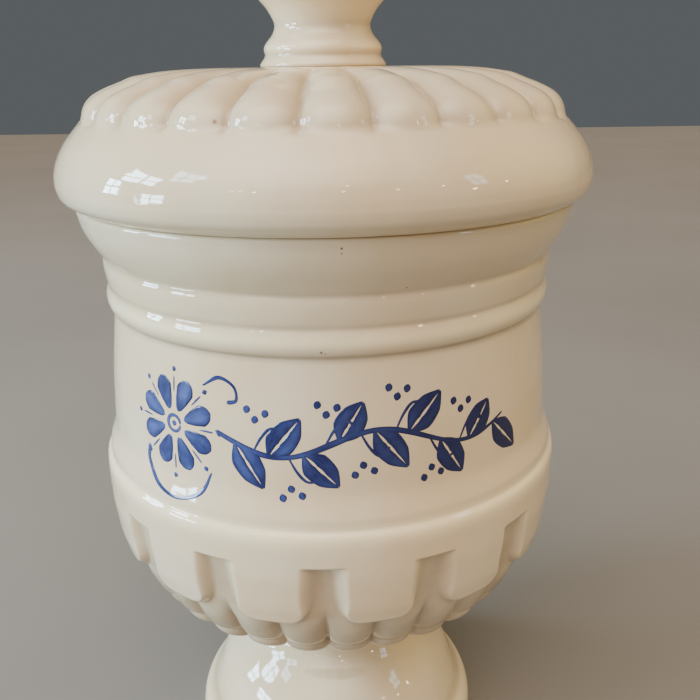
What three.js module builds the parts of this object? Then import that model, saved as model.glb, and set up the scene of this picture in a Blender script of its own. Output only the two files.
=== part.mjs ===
// A footed apothecary jar with a lift-off lid, cast and luted in glazed earthenware.
// Millimetres, +Z up. The painted front faces -Y and the jar stands on z = 0.
// Five castings: foot, jar, lid cover, locating flange under the lid, and finial.
import * as THREE from 'three';

// ---- driving sizes ----
const LUTE = 0.3; // slip layer between two castings that are stuck together
const SEAT_GAP = 0.3; // lid resting on the rim

const FOOT_RING_IN = 43.5; // ring the jar stands on
const FOOT_RING_OUT = 50.3;
const FOOT_TOP_Z = 58; // foot meets the bowl here
const REGISTER_R = 17.7; // boss under the bowl that centres the foot
const REGISTER_DROP = 3;
const REGISTER_PLAY = 0.3;

const RIM_Z = 201.1; // flat top of the rim
const RIM_R = 75.6;
const MOUTH_R = 63.2;
const CAVITY_FLOOR_Z = 69.5;

const TABS = 15; // wide tabs that hang from the shoulder
const TAB_TURN = -0.7; // middle of the front slot, degrees from dead front
const SLOT_TOP_Z = 112; // square top of the slot between two tabs
const TAB_END_Z = 92;
const SLOT_HALF = 1.9; // half width of a slot floor, degrees
const SLOT_WALL = 3; // width of a slot's sloping side wall, degrees
const BULBS = 2 * TABS; // round lobes under the tabs
const BULB_DEPTH = 3;
const LIP_TOP_Z = 79; // narrow lip that the round lobes end on

const LID_Z = RIM_Z + SEAT_GAP; // flat underside of the lid
const LID_LOBES = 26;
const LOBE_TURN = 10.6; // one valley between lobes, degrees from dead front
const LOBE_DEPTH = 2.6;
const LOBE_END_R = 71.8; // lobes stop on this circle
const CROWN_Z = 238;
const FLANGE_OUT = 62.5;
const FLANGE_IN = 57;
const FLANGE_DROP = 12; // how far the flange hangs into the mouth
const FLANGE_HOUSING = 1.6; // depth of the groove the flange is luted into
const FINIAL_SPIGOT_R = 8.7;
const FINIAL_SPIGOT = 4.5;
const FINIAL_BORE_R = 4.5;
const FINIAL_BORE_Z = 274;
const FINIAL_TOP_Z = 294;

const GLAZE = { color: 0xe2d8c5, roughness: 0.12, metalness: 0 };

// ---- rings of points round the axis ----
const RAD = Math.PI / 180;

// Evenly spaced angles in degrees, counted from the front towards +X.
function even(count, from = 0) {
  return Array.from({ length: count }, (_, i) => from + (360 * i) / count);
}

// Angles that put points on a slot's floor edges, wall tops and both bulb valleys.
function tabAngles() {
  const pitch = 360 / TABS;
  const wall = SLOT_HALF + SLOT_WALL;
  const half = [0, SLOT_HALF, wall, pitch / 3, pitch / 2];
  const steps = [...half, (2 * pitch) / 3, pitch - wall, pitch - SLOT_HALF];
  const angles = [];
  for (let k = 0; k < TABS; k += 1) {
    for (const step of steps) angles.push(TAB_TURN + k * pitch + step);
  }
  return angles;
}

// A ring: one point per angle at height z, its radius lowered by relief(angle).
function ring(angles, r, z, relief = () => 0) {
  return angles.map((deg) => {
    const radius = r - relief(deg);
    return [radius * Math.sin(deg * RAD), -radius * Math.cos(deg * RAD), z];
  });
}

// Rings for a list of [r, z] outline points.
function rings(angles, outline) {
  return outline.map(([r, z]) => ring(angles, r, z));
}

// Points of a smooth curve through a few [r, z] points, both ends included.
function sweep(points, pieces) {
  const curve = new THREE.SplineCurve(points.map(([r, z]) => new THREE.Vector2(r, z)));
  return curve.getPoints(pieces).map((p) => [p.x, p.y]);
}

// Join two rings with triangles; one may have twice the points of the other.
function bridge(index, a, na, b, nb) {
  const coarse = Math.min(na, nb);
  for (let i = 0; i < coarse; i += 1) {
    const n = (i + 1) % coarse;
    if (na === nb) {
      index.push(a + i, a + n, b + n, a + i, b + n, b + i);
    } else if (nb > na) {
      const [f0, f1, f2] = [b + 2 * i, b + 2 * i + 1, b + 2 * n];
      index.push(a + i, f1, f0, a + i, a + n, f1, a + n, f2, f1);
    } else {
      const [f0, f1, f2] = [a + 2 * i, a + 2 * i + 1, a + 2 * n];
      index.push(f0, f1, b + i, f1, b + n, b + i, f1, f2, b + n);
    }
  }
}

// Close an end of the stack of rings with a fan onto a point on the axis.
function fan(index, tip, start, count, rising) {
  for (let i = 0; i < count; i += 1) {
    const n = (i + 1) % count;
    if (rising) index.push(start + i, start + n, tip);
    else index.push(tip, start + n, start + i);
  }
}

// A closed skin over a stack of rings. The stack runs anticlockwise round the wall's section:
// up the outside and down the inside. It closes on itself, or on the axis at both ends.
function skin(stack, axisEnds = null) {
  const points = [];
  const starts = stack.map((loop) => {
    const start = points.length;
    points.push(...loop);
    return start;
  });
  const index = [];
  for (let j = 0; j + 1 < stack.length; j += 1) {
    bridge(index, starts[j], stack[j].length, starts[j + 1], stack[j + 1].length);
  }
  const last = stack.length - 1;
  if (axisEnds) {
    points.push([0, 0, axisEnds[0]], [0, 0, axisEnds[1]]);
    fan(index, points.length - 2, starts[0], stack[0].length, false);
    fan(index, points.length - 1, starts[last], stack[last].length, true);
  } else {
    bridge(index, starts[last], stack[last].length, starts[0], stack[0].length);
  }
  const geometry = new THREE.BufferGeometry();
  geometry.setAttribute('position', new THREE.Float32BufferAttribute(points.flat(), 3));
  geometry.setIndex(index);
  geometry.computeVertexNormals();
  return geometry;
}

// ---- relief ----

// 0 on a tab, 1 on the floor of the slot beside it.
function slotAt(deg) {
  const pitch = 360 / TABS;
  const off = Math.abs(((deg - TAB_TURN + pitch / 2) % pitch) - pitch / 2);
  return THREE.MathUtils.clamp((SLOT_HALF + SLOT_WALL - off) / SLOT_WALL, 0, 1);
}

// Depth below the crest of a row of round lobes: 0 on a crest, 1 in a valley.
function lobeAt(deg, count, phase = 0) {
  const across = ((((deg - phase) * count) / 360) % 1 + 1) % 1;
  const u = 2 * across - 1;
  return 1 - Math.sqrt(Math.max(0, 1 - 0.97 * u * u));
}

// ---- castings ----

// Hollow foot: ring, base roll, crease, dome and waist.
function pedestalFoot() {
  const round = even(40);
  const roll = sweep([[FOOT_RING_OUT, 0], [51.5, 2.5], [51.5, 9], [49.6, 14.4], [46.8, 17]], 5);
  const waist = [[46.1, 17.6], [43.2, 26], [38.5, 34.2], [30.6, 41.8], [26.3, 49], [27.6, FOOT_TOP_Z]];
  const dome = sweep(waist, 7);
  const boreR = REGISTER_R + REGISTER_PLAY;
  const inside = sweep([[boreR, 49], [24.5, 39], [34, 30], [39, 20], [FOOT_RING_IN, 0]], 5);
  return skin(rings(round, [...roll, ...dome, [boreR, FOOT_TOP_Z], ...inside]));
}

// Bowl: round lobes on a narrow lip, under tabs with slots between them.
function bowlRings() {
  const fine = tabAngles();
  const slot = (depth) => (deg) => depth * slotAt(deg);
  const bulb = (share) => (deg) => share * BULB_DEPTH * lobeAt(deg, BULBS, TAB_TURN);
  return [
    ring(fine, 60.4, 73.9, bulb(0.5)),
    ring(fine, 63.2, 76.2, bulb(0.9)),
    ring(fine, 63.7, LIP_TOP_Z, bulb(1)),
    ring(fine, 66, 80.9, bulb(1)),
    ring(fine, 68.3, 85.8, bulb(1)),
    ring(fine, 70, 90.6, bulb(0.7)),
    ring(fine, 72.7, TAB_END_Z + 0.4, slot(2.5)),
    ring(fine, 74, 98, slot(3.1)),
    ring(fine, 74.8, 105, slot(2.9)),
    ring(fine, 75.2, SLOT_TOP_Z - 0.8, slot(2.3)),
    ring(fine, 75.2, SLOT_TOP_Z),
  ];
}

// Jar: lobed bowl, plain cylinder, bead, band and flared rim, open at the mouth.
function jarBody() {
  const round = even(4 * TABS, TAB_TURN);
  const half = even(2 * TABS, TAB_TURN);
  const bottom = FOOT_TOP_Z + LUTE;
  const boss = bottom - REGISTER_DROP;
  const slope = [[75.2, 116], [75, 120.6], [74, 123], [73.5, 126], [72.1, 129.8], [71.3, 133.5], [71, 138.5]];
  const shoulder = sweep(slope, 7);
  const bead = [[67.9, 169.2], [69.2, 170.8], [69.7, 173.2], [68.85, 177.2]];
  const band = [[69.5, 180.6], [69.75, 183.4], [69.25, 185.5]];
  const flare = sweep([[71, 188.5], [73.7, 193.1], [75.2, 197.4], [RIM_R, 200.3]], 4);
  const rim = [[RIM_R - 0.9, RIM_Z], [MOUTH_R + 0.8, RIM_Z], [MOUTH_R, RIM_Z - 0.8], [MOUTH_R, 165]];
  const side = [[64, 142], [66.5, 118], [65.5, 100]];
  const belly = [...side, [60.5, 86.5], [52, 77.5], [40, 72], [20, CAVITY_FLOOR_Z]];
  const stack = [
    ...rings(half, [[REGISTER_R, boss], [REGISTER_R, bottom], [28, bottom]]),
    ...rings(round, [[37, 61], [46, 64.9], [55, 70.3]]),
    ...bowlRings(),
    ...rings(round, [...shoulder, [70.2, 150], ...bead, ...band, ...flare, ...rim]),
    ...rings(half, sweep(belly, 8)),
  ];
  return skin(stack, [boss, CAVITY_FLOOR_Z]);
}

// Lid cover: flat seat, thick rolled edge and a crown of radial lobes, hollow underneath.
function lidCover() {
  const round = even(2 * LID_LOBES, LOBE_TURN);
  const fine = even(4 * LID_LOBES, LOBE_TURN);
  const hole = FINIAL_SPIGOT_R + LUTE;
  const edge = [[75.6, LID_Z], [77.4, 202.1], [79.7, 204], [80.65, 207.2]];
  const roll = [[80.2, 210.5], [79.2, 214], [77, 218], [73.8, 221.8], [LOBE_END_R, 224.2]];
  const lobe = (depth) => (deg) => depth * lobeAt(deg, LID_LOBES, LOBE_TURN);
  // radius, height and share of the full lobe depth
  const crown = [
    [70.9, 226.6, 0.9], [68.9, 229.3, 1], [65, 232.2, 1],
    [58.9, 234.8, 0.8], [49.4, 236.9, 0.5], [34, 237.9, 0.2],
  ];
  const stack = rings(round, [...edge, ...roll]);
  for (const [r, z, depth] of crown) {
    const sunk = lobe(LOBE_DEPTH * depth);
    stack.push(fine.map((deg) => {
      const drop = sunk(deg);
      const radius = r - drop * 0.45;
      return [radius * Math.sin(deg * RAD), -radius * Math.cos(deg * RAD), z - drop * 0.9];
    }));
  }
  const flangeSlot = FLANGE_OUT + LUTE;
  const web = LID_Z + 5.2;
  const housing = LID_Z + FLANGE_HOUSING;
  stack.push(...rings(round, [
    [20, CROWN_Z], [hole, CROWN_Z], [hole, 231.5],
    [46, 230.4], [62, 225.4], [70.5, 218.5], [74.6, 211],
    [73, web], [FLANGE_IN - LUTE, web], [FLANGE_IN - LUTE, housing],
    [flangeSlot, housing], [flangeSlot, LID_Z],
  ]));
  return skin(stack);
}

// Ring luted under the lid; it drops into the mouth and stops the lid sliding off.
function locatingFlange() {
  const top = LID_Z + FLANGE_HOUSING - LUTE;
  const low = LID_Z - FLANGE_DROP;
  const section = [
    [FLANGE_IN + 1, low], [FLANGE_OUT - 1.5, low], [FLANGE_OUT, low + 2],
    [FLANGE_OUT, top], [FLANGE_IN, top], [FLANGE_IN, low + 1],
  ];
  return skin(rings(even(2 * LID_LOBES), section));
}

// Finial: spigot, stepped base, waist and knob with a small button on top; cored up the middle.
function lidFinial() {
  const round = even(24);
  const seat = CROWN_Z + LUTE;
  const base = [[18.9, seat], [18.2, 239.8], [17.3, 241.2], [17.7, 242.6], [16.6, 244.8], [15, 246.6]];
  const waist = [[14.2, 249], [15.6, 252.5], [18.3, 256.2]];
  const knob = sweep([...waist, [21.8, 263], [21.6, 271], [17, 279], [8.2, 284.5]], 9);
  const button = [[6.6, 286.2], [7.6, 288.6], [6.6, 291.8], [3.4, FINIAL_TOP_Z - 0.5]];
  const bottom = seat - FINIAL_SPIGOT;
  const outline = [[FINIAL_SPIGOT_R, bottom], [FINIAL_SPIGOT_R, seat], ...base, ...knob, ...button];
  const bore = [[FINIAL_BORE_R, FINIAL_BORE_Z - 2], [FINIAL_BORE_R, bottom]];
  return skin(rings(round, [...bore, ...outline]), [FINIAL_BORE_Z, FINIAL_TOP_Z]);
}

function piece(name, geometry) {
  const mesh = new THREE.Mesh(geometry, new THREE.MeshStandardMaterial({ ...GLAZE }));
  mesh.name = name;
  return mesh;
}

const jar = new THREE.Group();
jar.name = 'apothecary_jar';
jar.add(
  piece('pedestal_foot', pedestalFoot()),
  piece('jar_body', jarBody()),
  piece('lid_cover', lidCover()),
  piece('lid_locating_flange', locatingFlange()),
  piece('lid_finial', lidFinial()),
);

export default jar;
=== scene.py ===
import math
import bpy
import numpy as np
from mathutils import Matrix, Vector


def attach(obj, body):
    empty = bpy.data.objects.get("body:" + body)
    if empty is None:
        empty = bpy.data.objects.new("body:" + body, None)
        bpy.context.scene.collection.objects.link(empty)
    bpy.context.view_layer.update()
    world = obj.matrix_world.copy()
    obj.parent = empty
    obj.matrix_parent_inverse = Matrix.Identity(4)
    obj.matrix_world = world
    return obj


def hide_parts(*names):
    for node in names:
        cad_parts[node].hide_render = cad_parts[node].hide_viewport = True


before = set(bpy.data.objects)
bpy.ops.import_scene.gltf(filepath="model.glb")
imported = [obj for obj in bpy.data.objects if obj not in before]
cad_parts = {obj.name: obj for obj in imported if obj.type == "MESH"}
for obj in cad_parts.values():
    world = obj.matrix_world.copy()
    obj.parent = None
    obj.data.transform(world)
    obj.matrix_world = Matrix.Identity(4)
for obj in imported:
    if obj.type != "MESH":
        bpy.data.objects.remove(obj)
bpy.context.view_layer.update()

# An apothecary jar of glazed cream earthenware with a lift-off lid. Sizes are millimetres here and
# are scaled to metres when a mesh is made. The frame is the CAD's: +Z up, painted front facing -Y.

MM = 0.001

# ---- driving sizes, mm unless said otherwise ----
RIM_Z = 201.1
LID_Z = 201.4        # underside of the lid, a glaze's thickness above the rim
MOUTH_R = 63.2
FOOT_TOP_Z = 58.0
TABS = 15
TAB_TURN = -0.7      # the tabs and bulbs stand this far round from dead front, degrees
TAB_END_Z = 92.0
TAB_CORNER = 5.5     # radius of a tab's lower corners
SLOT_TOP_Z = 112.0
SLOT_HALF = 3.4      # half width of a slot at the top, degrees
SLOT_FLARE = 0.5     # how much wider it is at the bottom of a tab, degrees
SLOT_WALL = 4.8      # width of the sloping wall beside a slot
END_WALL = 2.2       # width of the wall at the lower end of a tab
BULBS = 30
BULB_DEPTH = 3.0
BULB_TOP_Z = 97.0    # the valleys between bulbs start here
LIP_TOP_Z = 79.0
SCALLOP = 0.9        # the bulbs' lower ends climb this far at each valley
LID_LOBES = 26
LOBE_TURN = 10.6     # angle of one valley between lid lobes, degrees
LOBE_DEPTH = 2.9
LID_TOP_Z = 238.0


# ---- outlines: lists of [r, z] ----

def smooth(points, step=1.0):
    """Catmull-Rom curve through a few points, sampled about every `step` mm."""
    p = np.array(points, float)
    p = np.vstack([2 * p[0] - p[1], p, 2 * p[-1] - p[-2]])
    out = []
    for i in range(1, len(p) - 2):
        count = max(2, int(round(np.linalg.norm(p[i + 1] - p[i]) / step)))
        t = (np.arange(count) / count)[:, None]
        a, b, c, d = p[i - 1], p[i], p[i + 1], p[i + 2]
        out.append(0.5 * (2 * b + (c - a) * t + (2 * a - 5 * b + 4 * c - d) * t ** 2
                          + (3 * b - a - 3 * c + d) * t ** 3))
    out.append(p[-2][None, :])
    return np.vstack(out)


def joined(*runs):
    return np.vstack([np.array(run, float) for run in runs])


def ease(x):
    x = np.clip(x, 0.0, 1.0)
    return x * x * (3 - 2 * x)


def lobe(angle, count, phase=0.0):
    """0 on the crest of a round lobe, 1 in the valley beside it."""
    across = np.mod((angle - math.radians(phase)) * count / (2 * math.pi), 1.0)
    u = 2 * across - 1
    return (1 - np.sqrt(np.maximum(0.0, 1 - 0.985 * u * u))) / (1 - math.sqrt(0.015))


# ---- mesh making ----

def add_mesh(name, verts, faces):
    """A smooth-shaded object from points in millimetres."""
    mesh = bpy.data.meshes.new(name)
    mesh.from_pydata((np.array(verts) * MM).tolist(), [], faces)
    mesh.shade_smooth()
    obj = bpy.data.objects.new(name, mesh)
    bpy.context.scene.collection.objects.link(obj)
    return obj


def ring_faces(index, rows):
    """Quads between each ring of points and the next, for the given rows."""
    faces = []
    for j in rows:
        here = index[j]
        up = index[(j + 1) % len(index)]
        quad = np.stack([here, np.roll(here, -1), np.roll(up, -1), up], axis=1)
        faces.extend(quad.tolist())
    return faces


def lathe(name, outside, inside, angles, relief=None, on_axis=False):
    """Skin a closed outline round the axis. relief(r, z, a) moves the points of the outside and
    gives each one a colour value: plus for pooled glaze and painted shade, minus for thin glaze
    and a painted highlight. With on_axis, the outline's two ends are closed on the axis."""
    outline = joined(outside, inside)
    rows, cols = len(outline), len(angles)
    r = np.repeat(outline[:, :1], cols, axis=1)
    z = np.repeat(outline[:, 1:2], cols, axis=1)
    a = np.repeat(angles[None, :], rows, axis=0)
    pool_and_painted_shading = np.zeros_like(r)
    if relief:
        k = len(outside)
        r[:k], z[:k], pool_and_painted_shading[:k] = relief(r[:k], z[:k], a[:k])
    verts = np.stack([r * np.sin(a), -r * np.cos(a), z], axis=-1).reshape(-1, 3)
    pool_and_painted_shading = pool_and_painted_shading.reshape(-1)
    index = np.arange(rows * cols).reshape(rows, cols)
    faces = ring_faces(index, range(rows - 1 if on_axis else rows))
    if on_axis:
        tips = np.full(cols, len(verts)), np.full(cols, len(verts) + 1)
        verts = np.vstack([verts, [[0, 0, outline[0, 1]], [0, 0, outline[-1, 1]]]])
        pool_and_painted_shading = np.concatenate([pool_and_painted_shading, [0.0, 0.0]])
        first, last = index[0], index[-1]
        faces.extend(np.stack([tips[0], np.roll(first, -1), first], axis=1).tolist())
        faces.extend(np.stack([last, np.roll(last, -1), tips[1]], axis=1).tolist())
    obj = add_mesh(name, verts, faces)
    layer = obj.data.attributes.new("pool_and_painted_shading", "FLOAT", "POINT")
    layer.data.foreach_set("value", pool_and_painted_shading.astype(np.float32))
    return obj


def turns(count):
    return np.arange(count) * 2 * math.pi / count


# ---- jar ----

TAB_FACE = smooth([[71.4, 88], [72.6, 92], [73.2, 94.5], [74.0, 98], [74.6, 103], [75.1, 108],
                   [75.2, 112]], 0.5)
LOW_FACE = smooth([[63.7, LIP_TOP_Z], [65.0, 79.6], [66.0, 80.9], [67.2, 83.2], [68.5, 86.2],
                   [69.8, 90], [70.4, 94], [71.0, 99], [71.9, 105], [73.0, 113]], 0.5)
SHOULDER = smooth([[75.2, 113.4], [75.2, 116], [75.15, 118.6], [75.0, 120.5], [74.7, 121.6],
                   [74.15, 122.4], [73.75, 123.0], [73.6, 124.1], [73.45, 125.9], [72.9, 127.6],
                   [72.1, 129.8], [71.5, 132], [71.2, 134.8], [71.0, 138.5]], 0.4)
CYLINDER = smooth([[70.7, 143], [70.2, 150], [69.2, 159], [68.1, 167.6], [67.9, 169.2]], 1.5)

# Bands of colour up a piece: height, half width, share. Minus is paler, plus is browner.
# Browner: glaze gathered in a crease, with painted shade in that crease.
# Paler: glaze run thin off an edge, with a painted highlight along the shoulder (121.6) and bead
# (174.0).
JAR_SHADING_BANDS = [(121.6, 2.8, -1.0), (174.0, 1.8, -1.0), (169.4, 0.9, 0.9), (177.25, 0.8, 0.7),
            (185.5, 1.0, 0.6)]
FOOT_SHADING_BANDS = [(17.1, 1.1, 1.0), (13.4, 1.6, -0.5), (51.0, 3.0, 0.3)]
FINIAL_SHADING_BANDS = [(238.3, 0.5, 0.2), (241.5, 0.9, 0.6), (243.4, 1.0, -0.5), (249.4, 1.6, 0.4),
               (285.4, 0.8, 0.8)]


def tab_angles():
    """Angles close together at the walls of the slots and wider apart on the tabs."""
    pitch = 360 / TABS
    half = np.concatenate([
        np.linspace(0, 2.4, 5, endpoint=False),
        np.linspace(2.4, 6.4, 14, endpoint=False),
        np.linspace(6.4, pitch / 2, 8, endpoint=False),
    ])
    one = np.concatenate([half, [pitch / 2], (pitch - half[1:])[::-1]])
    return np.radians(TAB_TURN + np.concatenate([one + k * pitch for k in range(TABS)]))


# Browner and paler bands by height: pooled and thin glaze, with painted shade and painted highlight.
def glaze_and_shading_bands(z, runs):
    return sum(share * np.exp(-((z - height) / reach) ** 2) for height, reach, share in runs)


def tab_share(r, z, a):
    """1 on a tab and above, 0 in a slot and below the tabs, with a soft wall between."""
    pitch = 2 * math.pi / TABS
    off = np.degrees(np.abs(np.mod(a + pitch / 2, pitch) - pitch / 2))
    half = SLOT_HALF + SLOT_FLARE * ease((SLOT_TOP_Z - z) / (SLOT_TOP_Z - TAB_END_Z))
    side = np.radians(off - half) * r
    above_end = z - TAB_END_Z
    corner = TAB_CORNER - np.hypot(TAB_CORNER - side, TAB_CORNER - above_end)
    rounded = (side < TAB_CORNER) & (above_end < TAB_CORNER)
    within = np.where(rounded, corner, np.minimum(side, above_end))
    wall = END_WALL + (SLOT_WALL - END_WALL) * ease((above_end - 2) / 8)
    return np.maximum(ease(within / wall + 0.5), ease(z - SLOT_TOP_Z + 0.5))


def bowl_relief(r, z, a):
    """Tabs hang from the shoulder over a lower tier of round bulbs that end on a scalloped lip."""
    a = a - math.radians(TAB_TURN)
    tab_r = np.interp(z, TAB_FACE[:, 1], TAB_FACE[:, 0])
    low_r = np.interp(z, LOW_FACE[:, 1], LOW_FACE[:, 0])
    valley = lobe(a, BULBS)
    in_tier = (z >= LIP_TOP_Z - 1e-6) & (z <= SLOT_TOP_Z + 1.5)
    depth = np.where(in_tier, ease((BULB_TOP_Z - z) / 11), ease((r - 50) / 12))
    floor_r = np.where(in_tier, low_r, r) - BULB_DEPTH * depth * valley
    top_r = np.where(z > SLOT_TOP_Z, r, tab_r)
    raised_r = floor_r + (top_r - floor_r) * tab_share(r, z, a)
    relief_r = np.where(z > TAB_END_Z - 3, raised_r, floor_r)
    bowl = (z < SLOT_TOP_Z + 1.5) & (z > 60)
    out = np.where(bowl, relief_r, r)
    climb = SCALLOP * valley * np.where(in_tier, ease((88 - z) / 9), ease((z - 74.5) / 4))
    # Depth below the tab face browns slots and bulb valleys: pooled glaze and painted shade.
    pool_and_painted_shading = np.where(bowl, np.clip((np.maximum(tab_r, r) - out) / 3.5, 0, 1), 0)
    return out, z + np.where(bowl, climb, 0), pool_and_painted_shading + glaze_and_shading_bands(z, JAR_SHADING_BANDS)


def make_jar():
    underside = smooth([[28, 58.3], [37, 61.0], [46, 64.9], [54, 69.7], [59.6, 73.4]], 1.2)
    lip = smooth([[61.2, 74.4], [62.6, 75.4], [63.5, 76.8], [63.8, 78.0], [63.7, LIP_TOP_Z - 0.4]], 0.4)
    tier_z = np.arange(LIP_TOP_Z + 0.5, SLOT_TOP_Z + 1.2, 0.5)
    tier = np.stack([np.interp(tier_z, TAB_FACE[:, 1], TAB_FACE[:, 0]), tier_z], axis=1)
    bead = smooth([[68.1, 169.6], [68.8, 170.2], [69.4, 171.4], [69.7, 172.9], [69.65, 174.5],
                   [69.3, 175.9], [68.85, 177.0]], 0.4)
    band = smooth([[68.85, 177.5], [69.2, 178.8], [69.55, 180.8], [69.75, 182.8], [69.7, 184.3],
                   [69.3, 185.3]], 0.5)
    flare = smooth([[69.2, 185.8], [69.7, 186.7], [71.0, 188.5], [72.4, 190.7], [73.7, 193.1],
                    [74.8, 195.9], [75.4, 198.4], [75.7, 200.0]], 0.6)
    rim = smooth([[75.5, 200.6], [75.0, 201.05], [74, RIM_Z]], 0.3)
    mouth = smooth([[64.2, RIM_Z], [63.5, RIM_Z - 0.3], [MOUTH_R, RIM_Z - 1.2]], 0.4)
    wall = smooth([[MOUTH_R, 165], [64, 142], [66.5, 118], [65.5, 100], [60.5, 86.5], [52, 77.5],
                   [40, 72], [20, 69.5]], 3)
    neck = joined(SHOULDER, CYLINDER, bead, band, flare, rim)
    outside = joined([[17.7, 55.3], [17.7, 58.3]], underside, lip, tier, neck)
    inside = joined(mouth, wall, [[8, 69.4]])
    return lathe("jar_body_glazed", outside, inside, tab_angles(), bowl_relief, on_axis=True)


# ---- foot ----

def make_foot():
    sole = [[44.2, 0.0], [47, 0.0]]
    ring = smooth([[49.6, 0.0], [50.6, 0.5], [51.2, 2.0], [51.5, 5], [51.45, 9],
                   [50.7, 12.2], [49.2, 15.0], [47.0, 16.9]], 0.8)
    dome = smooth([[46.1, 17.4], [45.7, 18.2], [45.1, 20.8], [43.4, 25.8], [41.4, 30.2], [38.4, 34.4],
                   [34.6, 38.4], [30.6, 42.2], [27.8, 46], [26.4, 50.4], [26.8, 55],
                   [27.9, FOOT_TOP_Z]], 1.0)
    bore = smooth([[18.0, FOOT_TOP_Z], [18, 49], [24.5, 39], [34, 30], [39, 20], [42.6, 6],
                   [43.6, 0.6]], 2)
    return lathe("foot_glazed", joined(sole, ring, dome), bore, turns(256),
                 lambda r, z, a: (r, z, glaze_and_shading_bands(z, FOOT_SHADING_BANDS)))


# ---- lid ----

def lid_relief(r, z, a):
    """Round lobes with narrow valleys, which run out from the middle of the crown to a blunt end."""
    dr = np.gradient(r, axis=0)
    dz = np.gradient(z, axis=0)
    length = np.maximum(np.hypot(dr, dz), 1e-9)
    normal_r, normal_z = dz / length, -dr / length
    crown = (z > 222.9) & (r > 9.5)
    share = ease((r - 22) / 38) * ease((z - 223.4) / 2.6)
    depth = np.where(crown, LOBE_DEPTH * share, 0.0) * lobe(a, LID_LOBES, LOBE_TURN)
    # The valley depth also browns the valleys: pooled glaze and painted shade.
    return r - depth * normal_r, z - depth * normal_z, np.clip(depth / 3.0, 0, 1)


def make_lid():
    edge = smooth([[62.8, LID_Z], [74.8, LID_Z], [76.2, LID_Z + 0.15], [77.6, 202.3], [79.7, 204.2],
                   [80.5, 207.2]], 0.9)
    roll = smooth([[80.5, 207.9], [80.25, 210.5], [79.2, 214], [77, 218], [74.4, 221.2], [72.6, 223.2],
                   [71.7, 224.3]], 0.7)
    crown = smooth([[71.4, 225.6], [71.0, 227.0], [69.8, 229.2], [67.6, 231.2], [64, 233.0],
                    [60, 234.5], [57.4, 235.55], [56, 236.0], [54, 236.35], [48, 237.2], [40, 237.75],
                    [31, 237.95], [20, LID_TOP_Z]], 0.8)
    hole = [[9.0, LID_TOP_Z], [9.0, 231.5]]
    inside = smooth([[12, 231.4], [46, 230.4], [62, 225.4], [70.5, 218.5], [74.6, 211], [73.4, 207.4],
                     [70, 206.6], [56.7, 206.6]], 2)
    housing = [[56.7, 203.0], [62.8, 203.0]]
    return lathe("lid_glazed", joined(edge, roll, crown, hole), joined(inside, housing),
                 turns(LID_LOBES * 28), lid_relief)


def make_flange():
    section = smooth([[58.2, 189.5], [61.2, 189.5], [62.3, 190.4], [62.5, 191.6]], 0.5)
    rest = [[62.5, 197], [62.5, 202.7], [57.0, 202.7], [57.0, 197], [57.0, 190.6], [57.3, 189.8]]
    return lathe("lid_flange_glazed", section, rest, turns(208))


def make_finial():
    joint_z = LID_TOP_Z + 0.03
    spigot = [[4.5, 272], [4.5, 233.9], [8.7, 233.9], [8.7, joint_z]]
    base_and_knob = smooth([
        [18.6, joint_z], [18.9, 238.6], [18.3, 239.6], [17.5, 240.7], [17.35, 241.6], [17.6, 242.6],
        [17.4, 243.8], [16.5, 245.2], [15.1, 246.8], [14.3, 248.6], [14.3, 250.2], [15.2, 252.2],
        [16.6, 254.4], [18.4, 256.4], [20.4, 259.4], [21.9, 263.4], [22.1, 267.6], [21.0, 272.4],
        [18.2, 277.4], [14, 281.2], [9.6, 283.6], [7.2, 285.0]], 0.9)
    button = smooth([[6.7, 286.0], [7.1, 287.4], [7.6, 289.2], [6.9, 291.4], [4.8, 293.2],
                     [2.0, 293.9]], 0.7)
    return lathe("finial_glazed", joined(spigot, base_and_knob), button, turns(180),
                 lambda r, z, a: (r, z, glaze_and_shading_bands(z, FINIAL_SHADING_BANDS)), on_axis=True)


# ---- materials ----

class Nodes:
    """Short names for building a node tree."""

    def __init__(self, owner):
        owner.use_nodes = True
        self.owner = owner
        self.tree = owner.node_tree

    def add(self, kind, inputs=None, **props):
        node = self.tree.nodes.new(kind)
        for key, value in props.items():
            setattr(node, key, value)
        for key, value in (inputs or {}).items():
            self.put(node, key, value)
        return node

    def put(self, node, key, value):
        if isinstance(value, bpy.types.NodeSocket):
            self.tree.links.new(value, node.inputs[key])
        else:
            node.inputs[key].default_value = value

    def math(self, operation, a, b=0.0, clamp=False):
        node = self.add("ShaderNodeMath", operation=operation, use_clamp=clamp)
        self.put(node, 0, a)
        self.put(node, 1, b)
        return node.outputs[0]

    def noise(self, scale, detail=2.0, vector=None, rough=0.5):
        node = self.add("ShaderNodeTexNoise", {"Scale": scale, "Detail": detail, "Roughness": rough})
        self.tree.links.new(vector or self.place(), node.inputs["Vector"])
        return node.outputs["Fac"]

    def place(self):
        return self.add("ShaderNodeTexCoord").outputs["Object"]

    def mix(self, factor, a, b, blend="MIX"):
        node = self.add("ShaderNodeMix", data_type="RGBA", blend_type=blend)
        self.put(node, 0, factor)
        self.put(node, 6, a)
        self.put(node, 7, b)
        return node.outputs[2]

    def span(self, value, low, high):
        """0 at low, 1 at high, held outside."""
        node = self.add("ShaderNodeMapRange", {"From Min": low, "From Max": high})
        self.put(node, "Value", value)
        return node.outputs["Result"]


def surface(name):
    """A new material's nodes, with its shader at hand as bsdf."""
    n = Nodes(bpy.data.materials.new(name))
    n.bsdf = n.tree.nodes["Principled BSDF"]
    return n


GLAZE_IOR = 1.52
CREAM = (0.780, 0.607, 0.375, 1)
PALE = (0.800, 0.665, 0.455, 1)
# The crease colour below is thick glaze and painted shade in creases and recesses.
POOL_AND_SHADE = (0.420, 0.320, 0.205, 1)     # thick glaze in a crease
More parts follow.
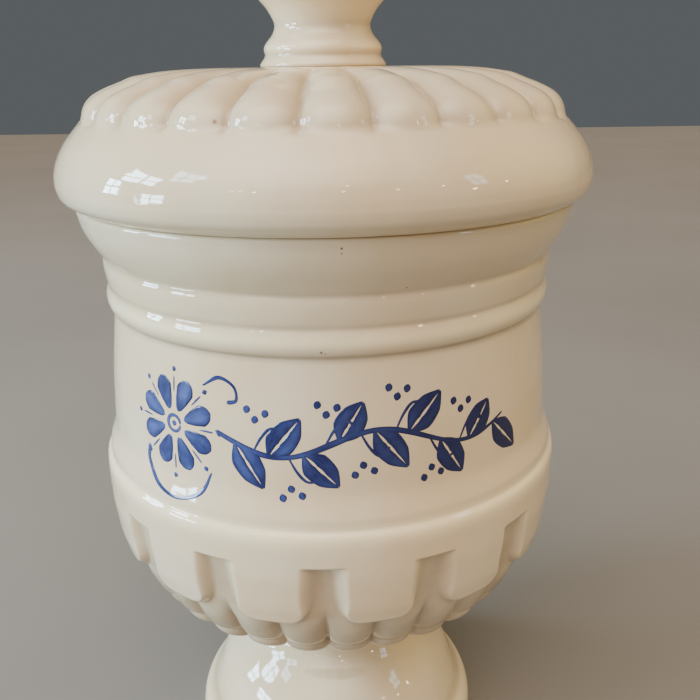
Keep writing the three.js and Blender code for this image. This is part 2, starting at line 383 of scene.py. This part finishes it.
# The edge colour below is thin glaze and a painted highlight along the shoulder and bead.
THIN_AND_HIGHLIGHT = (0.980, 0.820, 0.520, 1)     # thin glaze on an edge
SPECK = (0.075, 0.055, 0.040, 1)
RUST = (0.230, 0.070, 0.025, 1)
# Single blemishes: place and radius in millimetres, colour.
JAR_MARKS = [((-0.2, -69.6, 171.4), 0.55, SPECK), ((0.7, -69.5, 171.0), 0.4, SPECK),
             ((5.3, -75.3, 198.8), 0.4, SPECK), ((5.3, -74.9, 197.6), 0.35, SPECK)]
LID_MARKS = [((-23.2, -66.6, 226.6), 0.8, RUST), ((-22.6, -67.4, 225.9), 0.45, RUST),
             ((-48.0, -63.5, 212.8), 0.4, SPECK)]


def pinholes(n):
    """1 in the middle of each of a few tiny pits scattered over the glaze, 0 outside them."""
    cells = n.add("ShaderNodeTexVoronoi", {"Scale": 95.0, "Randomness": 1.0}, feature="F1")
    n.tree.links.new(n.place(), cells.inputs["Vector"])
    chosen = n.add("ShaderNodeSeparateColor", {"Color": cells.outputs["Color"]})
    radius = n.math("MULTIPLY", n.span(chosen.outputs[0], 0.86, 1.0), 0.034)
    return n.span(n.math("SUBTRACT", radius, cells.outputs["Distance"]), 0.0, 0.008)


def glaze_color(n, hole, marks):
    """Cloudy cream with blemishes; browner in creases and recesses and paler on edges, from glaze
    thickness and from painted shade and painted highlight.
    """
    cloud = n.span(n.noise(28, 4), 0.36, 0.66)
    color = n.mix(cloud, CREAM, PALE)
    # Per-point value: plus is pooled glaze with painted shade, minus is thin glaze with a painted
    # highlight.
    pool_and_painted_shading = n.add("ShaderNodeAttribute", attribute_name="pool_and_painted_shading").outputs["Fac"]
    patchy = n.math("MULTIPLY", pool_and_painted_shading, n.span(n.noise(90, 3), 0.25, 0.75))
    even = n.math("MULTIPLY", pool_and_painted_shading, 0.45)
    pooled_and_shaded = n.math("ADD", even, n.math("MULTIPLY", patchy, 0.45), clamp=True)
    color = n.mix(pooled_and_shaded, color, POOL_AND_SHADE)
    # Paler where the value is below zero: thin glaze and a painted highlight.
    color = n.mix(n.math("MULTIPLY", pool_and_painted_shading, -1.0, clamp=True), color, THIN_AND_HIGHLIGHT)
    color = n.mix(n.math("MULTIPLY", hole, 0.75), color, SPECK)
    for place, radius, stain in marks:
        middle = [MM * part for part in place]
        away = n.add("ShaderNodeVectorMath", {0: n.place(), 1: middle}, operation="DISTANCE")
        near = n.span(away.outputs["Value"], MM * radius, MM * radius * 0.3)
        color = n.mix(near, color, stain)
    return color


def glaze_height(n, hole, lines):
    """A slow swell, a shorter ripple and a fine grain; with lines, faint level rings as well."""
    swell = n.noise(34, 1)
    height = n.math("ADD", swell, n.math("MULTIPLY", n.noise(260, 2), 0.05))
    height = n.math("ADD", height, n.math("MULTIPLY", n.noise(105, 1), 1.1))
    if lines:
        ring_space = n.add("ShaderNodeMapping", {"Scale": (2.0, 2.0, 900.0)})
        n.tree.links.new(n.place(), ring_space.inputs["Vector"])
        rings = n.noise(1.0, 2, ring_space.outputs["Vector"])
        height = n.math("ADD", height, n.math("MULTIPLY", rings, 0.05))
    return n.math("SUBTRACT", height, n.math("MULTIPLY", hole, 0.3))


def glaze(name, lines=False, marks=()):
    """Cream body under clear glaze."""
    n = surface(name)
    hole = pinholes(n)
    n.put(n.bsdf, "Base Color", glaze_color(n, hole, marks))
    satin = n.span(n.noise(60, 3), 0.2, 0.8)
    rough = n.math("ADD", n.math("MULTIPLY", satin, 0.035), 0.03)
    n.put(n.bsdf, "Roughness", n.math("ADD", rough, n.math("MULTIPLY", hole, 0.3)))
    n.bsdf.inputs["IOR"].default_value = GLAZE_IOR
    bump = n.add("ShaderNodeBump", {"Strength": 0.55, "Distance": 0.0004})
    n.put(bump, "Height", glaze_height(n, hole, lines))
    n.put(n.bsdf, "Normal", bump.outputs["Normal"])
    return n.owner


COBALT_DARK = (0.008, 0.010, 0.058, 1)
COBALT_MID = (0.022, 0.040, 0.200, 1)
# Pale cobalt: thin paint, laid on most on the left as a painted highlight.
COBALT_THIN_AND_LIT = (0.075, 0.115, 0.340, 1)


def cobalt():
    """Brushed cobalt under the glaze: streaks along the stroke, thin where the brush was drying, and
    paler toward the left as a painted highlight where the light falls.
    """
    n = surface("painted_cobalt")
    along = n.add("ShaderNodeUVMap", uv_map="stroke")
    stretched = n.add("ShaderNodeMapping", {"Scale": (5.0, 0.55, 1.0)})
    n.tree.links.new(along.outputs["UV"], stretched.inputs["Vector"])
    streak = n.span(n.noise(1.6, 3, stretched.outputs["Vector"], 0.6), 0.34, 0.68)
    cloud = n.span(n.noise(120, 3), 0.34, 0.66)
    side = n.add("ShaderNodeSeparateXYZ", {"Vector": n.place()}).outputs["X"]
    # Painted light: 1 on the jar's left, 0 on its right; it pales the streaks and thin patches there.
    light = n.span(side, 0.045, -0.05)
    streak = n.math("MULTIPLY", streak, n.math("ADD", 0.25, n.math("MULTIPLY", light, 0.7)))
    color = n.mix(streak, COBALT_DARK, COBALT_MID)
    across = n.add("ShaderNodeSeparateXYZ", {"Vector": along.outputs["UV"]}).outputs["X"]
    off_middle = n.math("ABSOLUTE", n.math("SUBTRACT", across, 0.5))
    middle = n.math("SUBTRACT", 1.0, n.math("MULTIPLY", off_middle, 2.0))
    thin = n.math("MULTIPLY", n.math("MULTIPLY", cloud, n.span(middle, 0.1, 0.7)), light)
    color = n.mix(thin, color, COBALT_THIN_AND_LIT)
    n.put(n.bsdf, "Base Color", color)
    n.put(n.bsdf, "Roughness", n.math("ADD", n.math("MULTIPLY", cloud, 0.05), 0.09))
    n.bsdf.inputs["IOR"].default_value = GLAZE_IOR
    bump = n.add("ShaderNodeBump", {"Strength": 0.4, "Distance": 0.0003})
    n.put(bump, "Height", n.noise(34, 1))
    n.put(n.bsdf, "Normal", bump.outputs["Normal"])
    return n.owner


# ---- painted spray of leaves ----

PAINT_R = joined(SHOULDER, CYLINDER)   # outline of the wall that carries the painting
PAINT_LIFT = 0.05    # glaze over the pigment stands this far off the wall
BACK_LIFT = 0.004
ACROSS = (-1, -0.8, -0.4, 0, 0.4, 0.8, 1)   # points across a stroke, in half widths
UNROLL_R = 70.0      # strokes are laid out flat on a sheet wrapped at this radius


class Brush:
    """Collects flat strokes in (s, z) and wraps them on the jar as one thin mesh."""

    def __init__(self):
        self.verts = []
        self.faces = []
        self.uvs = []

    def wrap(self, s, z, lift):
        radius = np.interp(z, PAINT_R[:, 1], PAINT_R[:, 0]) + lift
        angle = s / UNROLL_R
        return [radius * math.sin(angle), -radius * math.cos(angle), z]

    def add_row(self, middle, half, v):
        """One cross-section of a stroke: a domed face over a back that all but touches the wall."""
        dome = [(u, PAINT_LIFT * math.sqrt(1 - 0.96 * u * u) + 0.01) for u in ACROSS]
        back = [(u, BACK_LIFT) for u in (1, -1)]
        for u, lift in dome + back:
            s, z = middle + half * u
            self.verts.append(self.wrap(s, z, lift))
            self.uvs.append((0.5 + u / 2, v))

    def skin(self, start, rows):
        count = len(ACROSS) + 2
        for i in range(rows - 1):
            for j in range(count):
                a = start + i * count + j
                b = start + i * count + (j + 1) % count
                self.faces.append((a, b, b + count, a + count))
        self.faces.append(tuple(start + j for j in reversed(range(count))))
        self.faces.append(tuple(start + (rows - 1) * count + j for j in range(count)))

    def stroke(self, points, widths, step=0.7):
        """A round-ended stroke through points; widths are its full widths at even stations."""
        path = smooth(points, step)
        reach = np.concatenate([[0], np.cumsum(np.linalg.norm(np.diff(path, axis=0), axis=1))])
        wide = np.interp(reach / reach[-1], np.linspace(0, 1, len(widths)), widths)
        radius = 0.5 * np.maximum(wide, 0.3)
        from_end = np.clip(np.minimum(reach, reach[-1] - reach) / radius, 0, 1)
        wide = wide * np.sqrt(np.clip(1 - (1 - from_end) ** 2, 0.02, 1))
        tangent = np.gradient(path, axis=0)
        tangent /= np.maximum(np.linalg.norm(tangent, axis=1), 1e-9)[:, None]
        side = np.stack([-tangent[:, 1], tangent[:, 0]], axis=1)
        start = len(self.verts)
        for middle, across, width, along in zip(path, side, wide, reach):
            # The start number shifts the pattern, so that no two strokes are alike.
            self.add_row(middle, across * width / 2, 0.35 * along + 0.37 * start)
        self.skin(start, len(path))

    def dab(self, s, z, width, length, lean):
        """A short teardrop touched down with the brush."""
        ds = math.cos(lean) * length / 2
        dz = math.sin(lean) * length / 2
        ends = [[s - ds, z - dz], [s, z], [s + ds, z + dz]]
        self.stroke(ends, [0.6 * width, width, 0.75 * width], 0.4)

    def finish(self, name):
        obj = add_mesh(name, self.verts, self.faces)
        layer = obj.data.uv_layers.new(name="stroke")
        for loop in obj.data.loops:
            layer.data[loop.index].uv = self.uvs[loop.vertex_index]
        return obj


def leaf(brush, s, z, lean, length, width):
    """A leaf of two pressed strokes that meet at the tip, with a thin bare midrib between them."""
    ca, sa = math.cos(lean), math.sin(lean)
    for hand in (1, -1):
        pts = []
        for t, off in ((0, 0.04), (0.32, 0.27), (0.66, 0.24), (1.0, 0.02)):
            x, y = t * length, hand * off * width
            pts.append([s + x * ca - y * sa, z + x * sa + y * ca])
        brush.stroke(pts, [0.7, width * 0.50, width * 0.44, 0.5], 0.5)


def flower(brush, s, z, petals=8):
    """An open flower head: broad petals, a thin line with a dot between each pair, and an eye."""
    for k in range(petals):
        turn = 2 * math.pi * (k + 0.5) / petals
        ray = np.array([math.cos(turn), math.sin(turn)])
        petal = [[s, z] + ray * reach for reach in (4.0, 7.0, 10.4, 13.6)]
        brush.stroke(petal, [1.5, 4.2, 6.0, 4.6], 0.5)
        between = np.array([math.cos(turn + math.pi / petals), math.sin(turn + math.pi / petals)])
        line = [[s, z] + between * reach for reach in (8.8, 11.2, 13.4)]
        brush.stroke(line, [0.35, 0.6, 0.5], 0.5)
        tip = np.array([s, z]) + between * 15.2
        brush.dab(tip[0], tip[1], 1.5, 1.7, turn)
    eye = [[s + 2.3 * math.cos(t), z + 2.3 * math.sin(t)] for t in np.linspace(0, 2 * math.pi, 13)]
    brush.stroke(eye, [0.9, 1.2, 0.8], 0.5)
    brush.dab(s, z, 1.7, 1.8, 0.0)


FLOWER_S, FLOWER_Z = -43.5, 147.5    # along the wall and up, mm
STEM_FROM, STEM_TO = -29.5, 54.0
STEM_Z, STEM_RISE = 146.5, 3.6


def paint_spray():
    """A flower with a waved stem of leaves, berries and tendrils across the front of the cylinder."""
    brush = Brush()

    def stem(t):
        s = STEM_FROM + (STEM_TO - STEM_FROM) * t
        return [s, STEM_Z + STEM_RISE * math.sin(2 * math.pi * 1.6 * t + 2.6)]

    flower(brush, FLOWER_S, FLOWER_Z)
    stem_line = [stem(t) for t in np.linspace(0.0, 1.0, 17)]
    brush.stroke(stem_line, [1.3, 1.8, 1.4, 1.9, 1.5, 1.6, 1.2, 1.3, 0.6])
    for k, t in enumerate(np.linspace(0.07, 0.95, 9)):
        s, z = stem(t)
        up = 1 if k % 2 else -1
        leaf(brush, s, z, up * math.radians(58 - 6 * (k % 3)), 14.4 - 0.8 * (k % 4), 7.6)
    for k, t in enumerate(np.linspace(0.13, 0.80, 7)):
        s, z = stem(t)
        up = -1 if k % 2 else 1
        offsets = ((0, 0), (2.2, 4.0), (4.6, 6.6), (7.0, 6.4), (7.2, 4.2))
        tendril = [[s + ds, z + up * dz] for ds, dz in offsets]
        brush.stroke(tendril, [0.5, 0.7, 0.9, 0.7, 1.1], 0.4)
        for ds, dz in ((0.6, 8.8), (3.4, 10.6), (-1.6, 11.4)):
            brush.dab(s + ds, z + up * dz, 2.1, 2.3, math.radians(70 * up))
    curl_below = [[-31, 136], [-34.5, 129.5], [-42, 126.4], [-50, 128.2], [-55, 133.4], [-54.4, 138.4]]
    brush.stroke(curl_below, [0.6, 1.3, 0.8, 1.1, 1.5, 1.7], 0.6)
    curl_above = [[-33.5, 160], [-28.5, 162.8], [-24.0, 161.0], [-23.2, 157.4], [-26.0, 156.4]]
    brush.stroke(curl_above, [0.6, 1.2, 0.9, 0.8, 1.3], 0.5)
    return brush.finish("cobalt_flower_spray")


# ---- build ----

def dress(obj, material, node, body):
    obj.data.materials.append(material)
    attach(obj, body)
    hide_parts(node)


dress(make_foot(), glaze("foot_clear_glaze"), "pedestal_foot", "jar")
dress(make_jar(), glaze("jar_clear_glaze", True, JAR_MARKS), "jar_body", "jar")
dress(make_lid(), glaze("lid_clear_glaze", False, LID_MARKS), "lid_cover", "lid")
dress(make_flange(), glaze("flange_clear_glaze"), "lid_locating_flange", "lid")
dress(make_finial(), glaze("finial_clear_glaze"), "lid_finial", "lid")

spray = paint_spray()
spray.data.materials.append(cobalt())
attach(spray, "jar")


# ---- floor, light, camera: metres and watts ----

FLOOR_REACH = 3.0
FLOOR_TINT = (0.20, 0.185, 0.162, 1)
FLOOR_PALE = (0.23, 0.213, 0.19, 1)
CENTRE = Vector((0, 0, 0.15))        # middle of the jar, where the lights point
COOL = (0.57, 0.81, 1.0)
WARM = (1.0, 0.78, 0.52)
# Paned windows: azimuth, elevation, size, power. The last is a faint one on the right.
WINDOWS = [(-79, 27, (0.40, 0.30), 13), (-90, 12, (0.27, 0.40), 14), (-69, 5, (0.38, 0.36), 17),
           (-61, 36, (0.30, 0.24), 3), (66, 27, (0.22, 0.36), 1.2)]
WINDOW_AWAY = 1.5
PANE_SHARE = 0.84                    # how much of a window is pane and not bar
# Small lamps that show as glints: azimuth and elevation.
LAMPS = [(-37, 23), (-32, 24), (-26, 23), (8, 25), (10, 34), (30, 24), (49, 24), (62, 16), (76, 17)]
LAMP_AWAY = 2.4
LAMP_SIZE = (0.055, 0.050)
LAMP_POWER = 0.5
# Broad soft glows: azimuth, elevation, colour.
GLOWS = [(-32, 48, (2.5, 2.0, 1.95)), (0, 65, (4.6, 3.9, 3.1)), (100, 25, (1.5, 1.1, 0.3))]
GLOW_HALF_WIDTH = 40                 # degrees
DIM_ROOM = (0.105, 0.115, 0.12, 1)
CAMERA_PLACE = (0.0069, -0.2552, 0.238)
CAMERA_LENS = 41.14                  # mm, on a sensor 36 mm wide
CAMERA_DOWN = 19.53                  # degrees below the horizontal
CAMERA_ROLL = -0.75


def floor():
    n = surface("pale_floor")
    tint = n.span(n.noise(3.0, 3), 0.3, 0.7)
    n.put(n.bsdf, "Base Color", n.mix(tint, FLOOR_TINT, FLOOR_PALE))
    n.put(n.bsdf, "Roughness", 0.7)
    mesh = bpy.data.meshes.new("floor")
    around = ((-1, -1), (1, -1), (1, 1), (-1, 1))
    corners = [(x * FLOOR_REACH, y * FLOOR_REACH, 0) for x, y in around]
    mesh.from_pydata(corners, [], [(0, 1, 2, 3)])
    obj = bpy.data.objects.new("floor", mesh)
    obj.data.materials.append(n.owner)
    bpy.context.scene.collection.objects.link(obj)


def toward(azimuth, elevation, distance):
    """A point seen from the jar's middle. Azimuth 0 is in front (-Y), positive to the right."""
    a, e = math.radians(azimuth), math.radians(elevation)
    ray = Vector((math.cos(e) * math.sin(a), -math.cos(e) * math.cos(a), math.sin(e)))
    return CENTRE + ray * distance


def area_light(name, place, aim, size, power, color):
    data = bpy.data.lights.new(name, "AREA")
    data.shape = "RECTANGLE"
    data.size, data.size_y = size
    data.energy = power
    data.color = color
    obj = bpy.data.objects.new(name, data)
    obj.location = place
    obj.rotation_euler = (Vector(aim) - Vector(place)).to_track_quat("-Z", "Y").to_euler()
    bpy.context.scene.collection.objects.link(obj)


def window(name, place, size, power, color):
    """A soft box divided into two by two panes."""
    turn = (CENTRE - place).to_track_quat("-Z", "Y")
    pane = (size[0] / 2 * PANE_SHARE, size[1] / 2 * PANE_SHARE)
    for i, across in enumerate((-0.25, 0.25)):
        for j, up in enumerate((-0.25, 0.25)):
            shift = turn @ Vector((across * size[0], up * size[1], 0))
            area_light(f"{name}_{i}_{j}", place + shift, CENTRE + shift, pane, power / 4, color)


def surroundings():
    """A dim room with a few broad soft glows."""
    n = Nodes(bpy.data.worlds.new("studio"))
    ray = n.add("ShaderNodeTexCoord").outputs["Generated"]
    edge = math.cos(math.radians(GLOW_HALF_WIDTH))
    light = DIM_ROOM
    for azimuth, elevation, color in GLOWS:
        middle = (toward(azimuth, elevation, 1.0) - CENTRE)[:]
        facing = n.add("ShaderNodeVectorMath", {0: ray, 1: middle}, operation="DOT_PRODUCT")
        share = n.math("POWER", n.span(facing.outputs["Value"], edge, 1.0), 1.5)
        light = n.mix(share, light, color + (1,), "ADD")
    n.put(n.tree.nodes["Background"], "Color", light)
    bpy.context.scene.world = n.owner


def studio():
    floor()
    surroundings()
    for k, (azimuth, elevation, size, power) in enumerate(WINDOWS):
        window(f"window_{k}", toward(azimuth, elevation, WINDOW_AWAY), size, power, COOL)
    for k, (azimuth, elevation) in enumerate(LAMPS):
        place = toward(azimuth, elevation, LAMP_AWAY)
        area_light(f"lamp_{k}", place, CENTRE, LAMP_SIZE, LAMP_POWER, WARM)


def camera():
    data = bpy.data.cameras.new("camera")
    data.lens = CAMERA_LENS
    data.sensor_width = 36
    obj = bpy.data.objects.new("camera", data)
    obj.location = CAMERA_PLACE
    tilt = Matrix.Rotation(math.radians(90 - CAMERA_DOWN), 3, "X")
    roll = Matrix.Rotation(math.radians(CAMERA_ROLL), 3, "Z")
    obj.rotation_euler = (tilt @ roll).to_euler()
    bpy.context.scene.collection.objects.link(obj)
    bpy.context.scene.camera = obj


studio()
camera()
